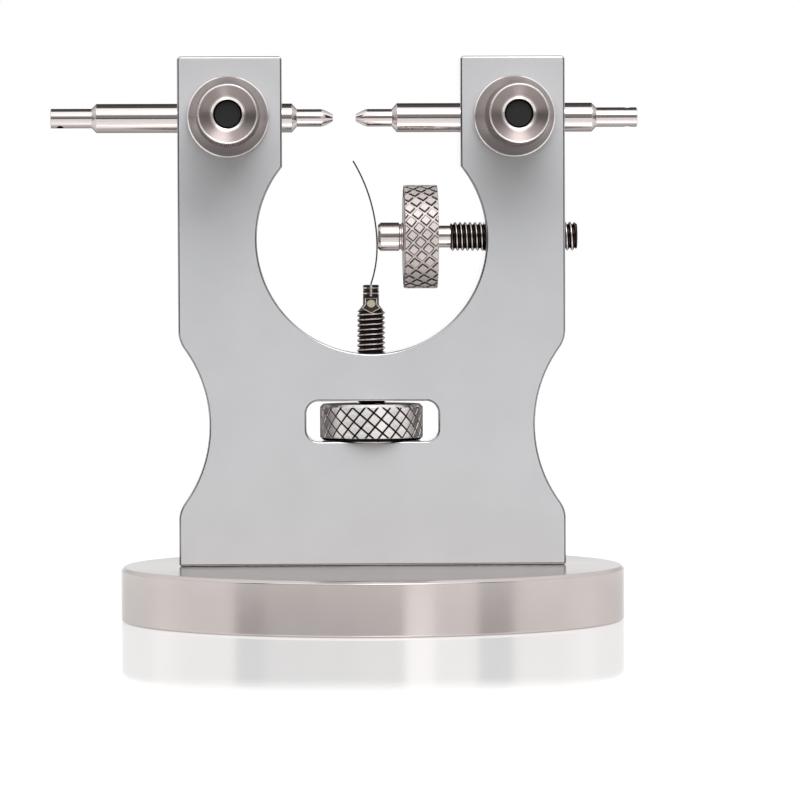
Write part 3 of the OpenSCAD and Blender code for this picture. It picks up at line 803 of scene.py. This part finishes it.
def feeler():
    """The curved strip, on the middle line of part.scad with finer steps."""
    # radii of the tight bend at the root and of the lower and upper arcs
    bend, low, high = 0.6, 11.5, 16.6
    lean, sweep, root = math.radians(18.5), math.radians(31), 1.1
    line = [(0, -root, 0), (0, -root / 2, 0)]
    for i in range(9):
        t = lean * i / 8
        line.append((bend * (1 - math.cos(t)), bend * math.sin(t), t))
    sx, sz = line[-1][0], line[-1][1]
    cx, cz = sx - low * math.cos(lean), sz + low * math.sin(lean)
    for i in range(1, 25):
        t = -lean + lean * i / 24
        line.append((cx + low * math.cos(t), cz + low * math.sin(t), -t))
    cx = cx + low - high
    for i in range(1, 49):
        t = sweep * i / 48
        line.append((cx + high * math.cos(t), cz + high * math.sin(t), -t))
    half_w, half_t, ease = 0.55, 0.07, 0.03
    section = [
        (-half_t, -half_w + ease), (-half_t + ease, -half_w), (half_t - ease, -half_w), (half_t, -half_w + ease),
        (half_t, half_w - ease), (half_t - ease, half_w), (-half_t + ease, half_w), (-half_t, half_w - ease)
    ]
    bm = bmesh.new()
    rings = []
    for x, z, t in line:
        nx, nz = math.cos(t), -math.sin(t)
        rings.append([
            bm.verts.new((x + nx * a, MID_Y + b, ROD_TOP + z + nz * a)) for a, b in section
        ])
    for low_ring, high_ring in zip(rings, rings[1:]):
        for i in range(8):
            j = (i + 1) % 8
            bm.faces.new((low_ring[i], low_ring[j], high_ring[j], high_ring[i]))
    bm.faces.new(rings[0])
    bm.faces.new(rings[-1])
    return bm_object("spring_feeler", bm)


strip = feeler()
dress(strip, "feeler_strip", SPRING_BLUE, "feeler", sharp=40, ride=False)
# the strip's edge in the slit is ground bright with the rod's facet
strip.data.materials.append(FACET_EDGE)
for face in strip.data.polygons:
    if face.center.z < (ROD_TOP - 0.06) * MM:
        face.material_index = 1
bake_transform(strip)


# ---------------------------------------------------------------- adjusting screw

NOSE_X = 0.73
NECK_L, NECK_R, SCREW_L = 1.3, 1.1, 12.7

nose = lathe("turned_nose", soften([
    (0, 0), (1.175, 0), (1.425, 0.25), (1.425, 2.1), (1.275, 2.13), (1.275, 2.3), (1.4, 2.33),
    (1.4, 2.46), (1.35, 2.52), (0.8, 2.52), (0.8, 1.07), (0, 1.07)], 0.04))
place(nose, NOSE_X, MID_Y, SCREW_Z, "X")
dress(nose, "push", SCREW_STEEL, "push_nose")

wheel = knurl("knurled_wheel", WHEEL_R, WHEEL_W, chamfer=0.08, around=22, twist=2, bore=NECK_R + 0.02,
              groove=0.07, wall=0.13, depth=KNURL_DEPTH)
place(wheel, WHEEL_X, MID_Y, SCREW_Z, "X")
dress(wheel, "wheel", WHEEL_STEEL, "adjust_wheel", sharp=20)


def adjusting_screw():
    """The pivot in the nose, the neck through the wheel and the threaded shank."""
    neck = WHEEL_W + NECK_L
    end = neck + SCREW_L
    obj = thread("turned_screw", neck, end, [
        (0, neck), (1.25, neck), (1.46, neck + 0.2), (1.46, end - 0.3), (1.2, end), (0, end)])
    shank = soften([
        (0, -1.45), (0.68, -1.45), (0.75, -1.38), (0.75, 0), (NECK_R, 0), (NECK_R, neck + 0.6),
        (0, neck + 0.6)], 0.04)
    return combine(obj, lathe("tool", shank, seg=SMALL_SEG), "UNION")


screw = place(adjusting_screw(), WHEEL_X, MID_Y, SCREW_Z, "X")
dress(screw, "wheel", SCREW_STEEL, "adjust_screw", sharp=28)
screw.data.materials.append(THREAD_STEEL)
for face in screw.data.polygons:
    if face.center.x > (WHEEL_X + WHEEL_W + NECK_L + 0.02) * MM:
        face.material_index = 1


# ---------------------------------------------------------------- carried-over CAD nodes

for name in ("base_screws", "locating_pins", "guide_screw"):
    mesh = nodes[name].data
    mesh.materials.clear()
    mesh.materials.append(FASTENER)


# ---------------------------------------------------------------- stage

FLOOR_GREY = 0.18
FLOOR_GLOW = 0.84
MIRROR = 0.42


def seen_directly(tree):
    """1 for camera, glossy and transmission rays, which see the plain white background."""
    path = tree.nodes.new("ShaderNodeLightPath")
    total = calc(tree, "ADD", path.outputs["Is Camera Ray"], path.outputs["Is Glossy Ray"])
    return path, calc(tree, "ADD", total, path.outputs["Is Transmission Ray"], clamp=True)


def floor_material():
    """White table that mirrors what stands near; it looks white directly and in metal, and lights little."""
    mat, tree, shader = material("floor_white")
    path, direct = seen_directly(tree)
    coords = tree.nodes.new("ShaderNodeTexCoord").outputs["Object"]
    split = tree.nodes.new("ShaderNodeSeparateXYZ")
    link(tree, coords, split.inputs[0])
    # metal sees the table end under the camera, and the camera sees it go on
    table = ramp(tree, split.outputs["Y"], -0.46, -0.36)
    table = calc(tree, "MAXIMUM", table, path.outputs["Is Camera Ray"])
    grey = tree.nodes.new("ShaderNodeCombineColor")
    for i in range(3):
        link(tree, calc(tree, "MULTIPLY", table, FLOOR_GREY), grey.inputs[i])
    link(tree, grey.outputs[0], shader.inputs["Base Color"])
    shader.inputs["Emission Color"].default_value = (1, 1, 1, 1)
    glow = calc(tree, "MULTIPLY", calc(tree, "MULTIPLY", direct, table), FLOOR_GLOW)
    link(tree, glow, shader.inputs["Emission Strength"])
    shader.inputs["Roughness"].default_value = 0.9
    shader.inputs["Specular IOR Level"].default_value = 0.0
    size = add(tree, "ShaderNodeVectorMath", operation="LENGTH")
    link(tree, coords, size.inputs[0])
    near = calc(tree, "SUBTRACT", 1.0, ramp(tree, size.outputs["Value"], 0.068, 0.09))
    gloss = tree.nodes.new("ShaderNodeBsdfGlossy")
    gloss.inputs["Color"].default_value = (1, 1, 1, 1)
    gloss.inputs["Roughness"].default_value = 0.04
    mix = tree.nodes.new("ShaderNodeMixShader")
    link(tree, calc(tree, "MULTIPLY", near, MIRROR), mix.inputs[0])
    link(tree, shader.outputs[0], mix.inputs[1])
    link(tree, gloss.outputs[0], mix.inputs[2])
    link(tree, mix.outputs[0], tree.nodes["Material Output"].inputs["Surface"])
    return mat


FLOOR_HALF = 4
floor = mesh_object("floor", [
    (-FLOOR_HALF, -FLOOR_HALF, 0), (FLOOR_HALF, -FLOOR_HALF, 0),
    (FLOOR_HALF, FLOOR_HALF, 0), (-FLOOR_HALF, FLOOR_HALF, 0)], [(0, 1, 2, 3)])
floor.data.materials.append(floor_material())


def studio():
    """White surroundings with a wide softbox over the front, a dark strip behind it and flags at the sides.

    seen is the level that metal mirrors and lit the level that lights matt surfaces. Angles are in
    degrees: azimuth goes round from the front, over goes from the front up and over to the back,
    aside is the angle from the middle plane, and height the angle above the horizon.
    """
    world = bpy.data.worlds.new("studio")
    world.use_nodes = True
    bpy.context.scene.world = world
    tree = world.node_tree
    coords = tree.nodes.new("ShaderNodeTexCoord").outputs["Generated"]
    split = tree.nodes.new("ShaderNodeSeparateXYZ")
    link(tree, coords, split.inputs[0])
    x, y, z = split.outputs
    front = calc(tree, "MULTIPLY", y, -1.0)
    azimuth = calc(tree, "DEGREES", calc(tree, "ARCTAN2", x, front))
    over = calc(tree, "DEGREES", calc(tree, "ARCTAN2", z, front))
    aside = calc(tree, "ABSOLUTE", calc(tree, "DEGREES", calc(tree, "ARCSINE", x)))
    height = calc(tree, "DEGREES", calc(tree, "ARCSINE", z))

    def band(value, low, high, soft):
        up = ramp(tree, value, low - soft, low + soft)
        down = ramp(tree, value, high - soft, high + soft)
        return calc(tree, "SUBTRACT", up, down)

    def blend_to(level, target, *amounts):
        amount = amounts[0]
        for extra in amounts[1:]:
            amount = calc(tree, "MULTIPLY", amount, extra)
        return calc(tree, "MULTIPLY_ADD", calc(tree, "SUBTRACT", target, level), amount, level)

    level_band = band(height, -30, 18, 4)
    flag_band = band(height, -30, 40, 6)
    inward = calc(tree, "MULTIPLY", aside, -1.0)
    seen = calc(tree, "ADD", 0.0, 1.0)
    # the front half and the two rear quarters are a little dimmer near the horizon
    seen = blend_to(seen, 0.72, ramp(tree, front, -0.5, 0.0), level_band)
    seen = blend_to(seen, 0.82, band(calc(tree, "ABSOLUTE", azimuth), 120, 168, 4), level_band)
    # the dim space round the camera, and the camera's own narrow strip
    seen = blend_to(seen, 0.22, band(azimuth, -66, 66, 3), level_band)
    seen = blend_to(seen, 0.3, band(azimuth, -9, 9, 3), band(height, -14, 24, 3))
    # the softbox, and the dark strip behind it
    seen = blend_to(seen, 1.45, band(over, 26, 87, 2), ramp(tree, inward, -62, -48))
    seen = blend_to(seen, 0.1, band(over, 86, 160, 2), band(aside, -30, 13, 2))
    # a black flag on either side, then a bright and a pale panel on the right
    seen = blend_to(seen, 0.0, band(azimuth, -66, -51, 1.0), flag_band)
    seen = blend_to(seen, 0.0, band(azimuth, 47, 64, 1.5), flag_band)
    seen = blend_to(seen, 1.2, band(azimuth, 13, 27, 1.5), level_band)
    seen = blend_to(seen, 0.75, band(azimuth, 27, 47, 1.5), level_band)
    lit = calc(tree, "ADD", 0.0, 0.2)
    lit = blend_to(lit, 2.98, band(over, 34, 97, 4), ramp(tree, inward, -46, -34))

    path, direct = seen_directly(tree)
    seen = blend_to(seen, 1.0, path.outputs["Is Camera Ray"])
    level = blend_to(lit, seen, direct)
    tint = tree.nodes.new("ShaderNodeCombineColor")
    for i in range(3):
        link(tree, level, tint.inputs[i])
    link(tree, tint.outputs[0], tree.nodes["Background"].inputs["Color"])


studio()


def area_lamp(name, place_mm, aim_mm, size, power):
    data = bpy.data.lights.new(name, "AREA")
    data.shape = "DISK"
    data.size = size * MM
    data.energy = power
    lamp = bpy.data.objects.new(name, data)
    bpy.context.scene.collection.objects.link(lamp)
    spot, aim = Vector(place_mm) * MM, Vector(aim_mm) * MM
    turn = (aim - spot).to_track_quat("-Z", "Y").to_matrix().to_4x4()
    lamp.matrix_world = Matrix.Translation(spot) @ turn


area_lamp("key", (25, -130, 190), (0, 0, 45), 120, 0.12)


def camera():
    data = bpy.data.cameras.new("camera")
    data.lens = 218.0
    data.sensor_width = 36
    data.clip_start = 0.01
    cam = bpy.data.objects.new("camera", data)
    bpy.context.scene.collection.objects.link(cam)
    spot, aim = Vector((-11.93, -482, 35.15)) * MM, Vector((2.78, 0, 21.83)) * MM
    turn = (aim - spot).to_track_quat("-Z", "Y").to_matrix().to_4x4()
    roll = Matrix.Rotation(math.radians(-0.22), 4, "Z")
    cam.matrix_world = Matrix.Translation(spot) @ turn @ roll
    bpy.context.scene.camera = cam


camera()
bpy.context.scene.view_settings.view_transform = "Standard"
